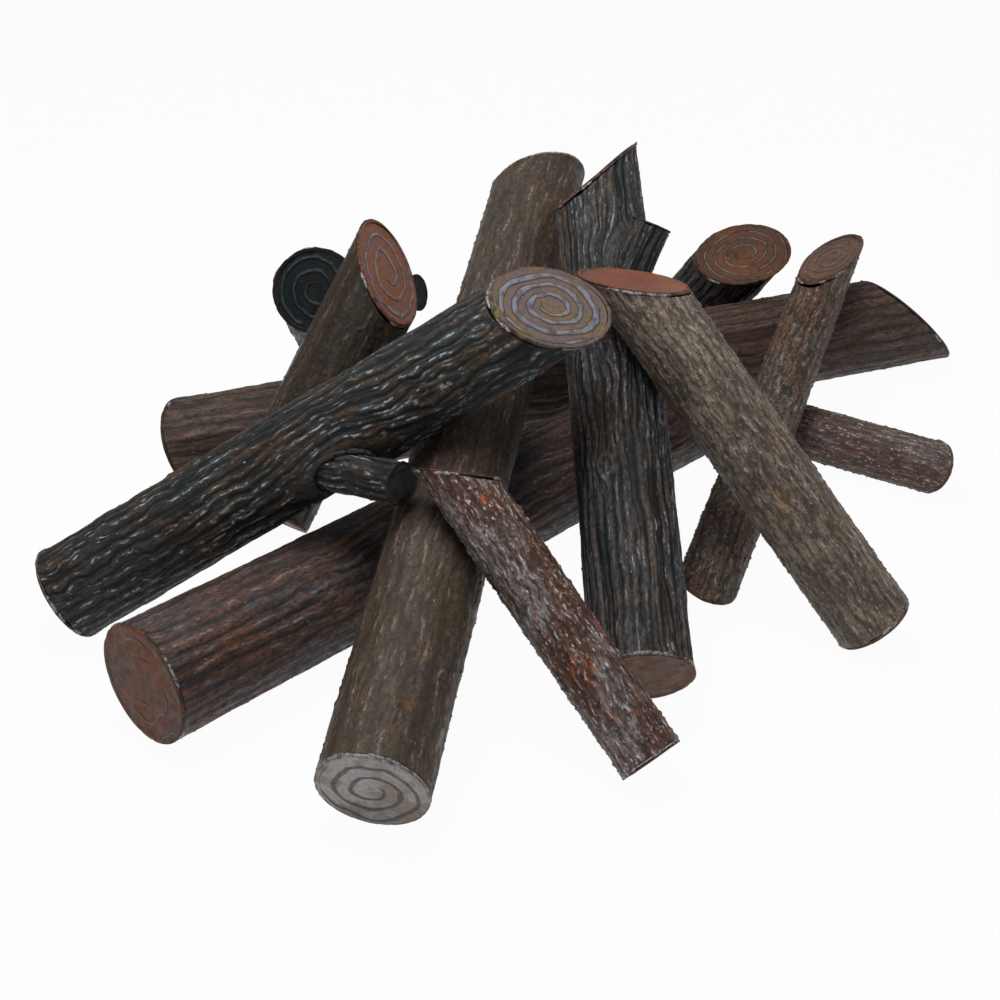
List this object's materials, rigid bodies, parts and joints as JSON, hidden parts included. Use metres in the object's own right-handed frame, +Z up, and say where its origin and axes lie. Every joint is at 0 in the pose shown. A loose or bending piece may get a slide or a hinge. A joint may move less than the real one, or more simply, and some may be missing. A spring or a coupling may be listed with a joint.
{
  "type": "gas log set",
  "caption": "Stacked pile of loose hollow steel gas logs with weld-bead bark, closed by flat tack-welded end plates, some with a sawn-off branch stub, for an open gas fire.",
  "frame": {"origin": "on the ground, at the middle of the pile's footprint box", "axes": "+Z up, +X to the right of the pile as seen from its front, +Y to its back"},
  "size_m": [1.5194, 1.5334, 0.5497],
  "materials": {
    "back_log_bark_paint": "heat-proof paint over weld-bead bark, satin with lighter rubbed crests",
    "back_log_plate_paint": null,
    "base_log_bark_paint": "heat-proof paint over weld-bead bark, satin with lighter rubbed crests",
    "base_log_plate_paint": null,
    "centre_log_bark_paint": "heat-proof paint over weld-bead bark, satin with lighter rubbed crests",
    "centre_log_plate_paint": null,
    "right_stick_bark_paint": "heat-proof paint over weld-bead bark, satin with lighter rubbed crests",
    "right_stick_plate_paint": null,
    "left_log_bark_paint": "heat-proof paint over weld-bead bark, satin with lighter rubbed crests",
    "left_log_plate_paint": null,
    "upright_log_bark_paint": "heat-proof paint over weld-bead bark, satin with lighter rubbed crests",
    "upright_log_plate_paint": null,
    "right_log_bark_paint": "heat-proof paint over weld-bead bark, satin with lighter rubbed crests",
    "right_log_plate_paint": null,
    "cross_log_bark_paint": "heat-proof paint over weld-bead bark, satin with lighter rubbed crests",
    "cross_log_plate_paint": null,
    "front_stick_bark_paint": "heat-proof paint over weld-bead bark, satin with lighter rubbed crests",
    "front_stick_plate_paint": null,
    "rear_right_log_bark_paint": "heat-proof paint over weld-bead bark, satin with lighter rubbed crests",
    "rear_right_log_plate_paint": null,
    "rear_left_log_bark_paint": "heat-proof paint over weld-bead bark, satin with lighter rubbed crests",
    "rear_left_log_plate_paint": null,
    "low_stick_bark_paint": "heat-proof paint over weld-bead bark, satin with lighter rubbed crests",
    "low_stick_plate_paint": null
  },
  "bodies": {
    "root": {"back_log_bark": "back_log_bark_paint", "back_log_foot_plate": "back_log_plate_paint", "back_log_top_plate": "back_log_plate_paint"},
    "base_log": {"base_log_bark": "base_log_bark_paint", "base_log_foot_plate": "base_log_plate_paint", "base_log_top_plate": "base_log_plate_paint"},
    "centre_log": {"centre_log_bark": "centre_log_bark_paint", "centre_log_foot_plate": "centre_log_plate_paint", "centre_log_top_plate": "centre_log_plate_paint"},
    "right_stick": {"right_stick_bark": "right_stick_bark_paint", "right_stick_foot_plate": "right_stick_plate_paint", "right_stick_top_plate": "right_stick_plate_paint"},
    "left_log": {"left_log_bark": "left_log_bark_paint", "left_log_foot_plate": "left_log_plate_paint", "left_log_top_plate": "left_log_plate_paint"},
    "upright_log": {"upright_log_bark": "upright_log_bark_paint", "upright_log_foot_plate": "upright_log_plate_paint", "upright_log_top_plate": "upright_log_plate_paint", "upright_log_stub_bark": "upright_log_bark_paint", "upright_log_stub_plate": "upright_log_plate_paint"},
    "right_log": {"right_log_bark": "right_log_bark_paint", "right_log_foot_plate": "right_log_plate_paint", "right_log_top_plate": "right_log_plate_paint"},
    "cross_log": {"cross_log_bark": "cross_log_bark_paint", "cross_log_foot_plate": "cross_log_plate_paint", "cross_log_top_plate": "cross_log_plate_paint", "cross_log_stub_bark": "cross_log_bark_paint", "cross_log_stub_plate": "cross_log_plate_paint"},
    "front_stick": {"front_stick_bark": "front_stick_bark_paint", "front_stick_foot_plate": "front_stick_plate_paint", "front_stick_top_plate": "front_stick_plate_paint"},
    "rear_right_log": {"rear_right_log_bark": "rear_right_log_bark_paint", "rear_right_log_foot_plate": "rear_right_log_plate_paint", "rear_right_log_top_plate": "rear_right_log_plate_paint"},
    "rear_left_log": {"rear_left_log_bark": "rear_left_log_bark_paint", "rear_left_log_foot_plate": "rear_left_log_plate_paint", "rear_left_log_top_plate": "rear_left_log_plate_paint", "rear_left_log_stub_bark": "rear_left_log_bark_paint", "rear_left_log_stub_plate": "rear_left_log_plate_paint"},
    "low_stick": {"low_stick_bark": "low_stick_bark_paint", "low_stick_foot_plate": "low_stick_plate_paint", "low_stick_top_plate": "low_stick_plate_paint"}
  },
  "joints": [
    {"name": "base_log_draw", "type": "slide", "parent": "root", "child": "base_log", "axis": [-0.6997, -0.7145, 0], "range_m": [0, 1.1]},
    {"name": "centre_log_draw", "type": "slide", "parent": "root", "child": "centre_log", "axis": [0.1789, 0.938, 0.2967], "range_m": [0, 1]},
    {"name": "right_stick_draw", "type": "slide", "parent": "root", "child": "right_stick", "axis": [0.3404, 0.9103, 0.2354], "range_m": [0, 0.9]},
    {"name": "right_log_lift", "type": "slide", "parent": "upright_log", "child": "right_log", "axis": [0.4472, 0, 0.8944], "range_m": [0, 0.6]},
    {"name": "left_log_lift", "type": "slide", "parent": "root", "child": "left_log", "axis": [0, 0, 1], "range_m": [0, 0.5]},
    {"name": "upright_log_lift", "type": "slide", "parent": "root", "child": "upright_log", "axis": [0.8305, 0.2491, 0.4983], "range_m": [0, 0.6]},
    {"name": "cross_log_lift", "type": "slide", "parent": "root", "child": "cross_log", "axis": [-0.6917, 0.2075, 0.6917], "range_m": [0, 0.7]},
    {"name": "front_stick_lift", "type": "slide", "parent": "root", "child": "front_stick", "axis": [0.2075, -0.6917, 0.6917], "range_m": [0, 0.5]},
    {"name": "rear_right_log_lift", "type": "slide", "parent": "root", "child": "rear_right_log", "axis": [0, 0, 1], "range_m": [0, 0.4]},
    {"name": "rear_left_log_draw", "type": "slide", "parent": "root", "child": "rear_left_log", "axis": [-0.4472, 0.8944, 0], "range_m": [0, 0.6]},
    {"name": "low_stick_draw", "type": "slide", "parent": "root", "child": "low_stick", "axis": [0.8339, -0.5519, 0], "range_m": [0, 0.5]}
  ]
}
